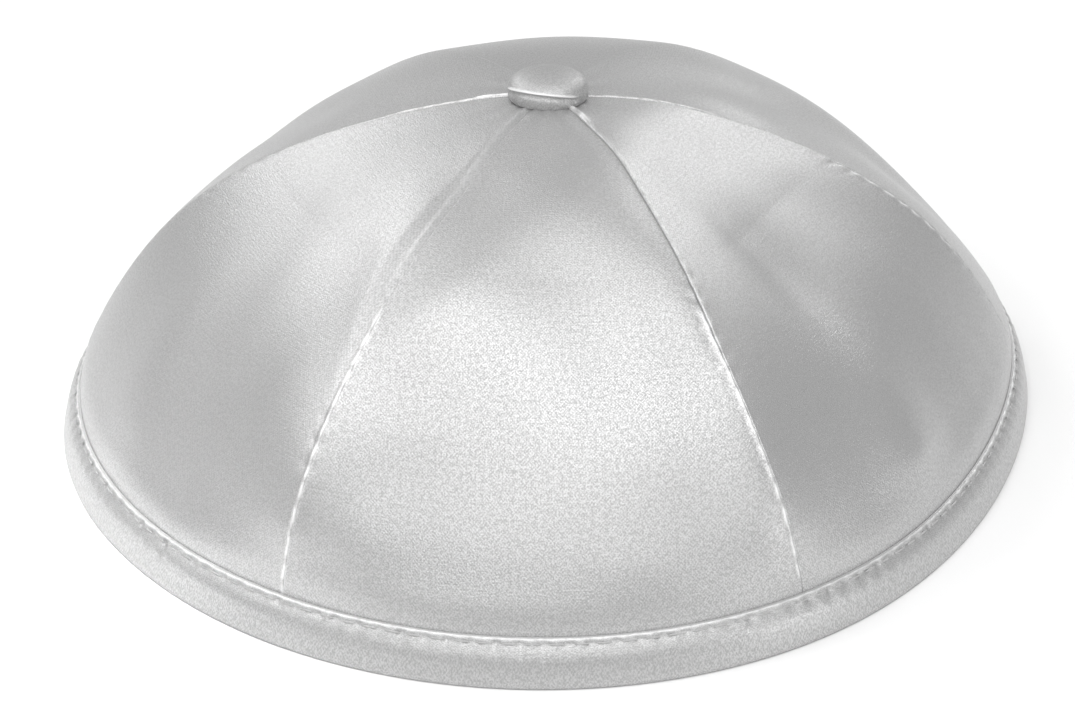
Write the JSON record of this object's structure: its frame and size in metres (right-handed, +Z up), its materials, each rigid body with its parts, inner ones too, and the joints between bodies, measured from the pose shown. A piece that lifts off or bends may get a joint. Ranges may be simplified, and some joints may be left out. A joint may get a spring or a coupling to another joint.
{
  "type": "kippah skullcap",
  "caption": "Domed six-panel satin skullcap with a folded rim band and a covered button at the top, resting on its rim.",
  "frame": {"origin": "on the surface that the rim rests on, under the middle of the whole outline", "axes": "+Z up through the crown, the front panel faces -Y, +X to the right seen from the front"},
  "size_m": [0.165, 0.1798, 0.0611],
  "materials": {
    "crown_satin": "light silver-grey satin with a soft sheen",
    "band_satin": "light silver-grey satin strip, folded and stitched",
    "button_satin": "light silver-grey satin over a button form"
  },
  "bodies": {
    "root": {"panel_front": "crown_satin", "panel_front_right": "crown_satin", "panel_back_right": "crown_satin", "panel_back": "crown_satin", "panel_back_left": "crown_satin", "panel_front_left": "crown_satin", "rim_band": "band_satin", "top_button": "button_satin"}
  },
  "joints": []
}
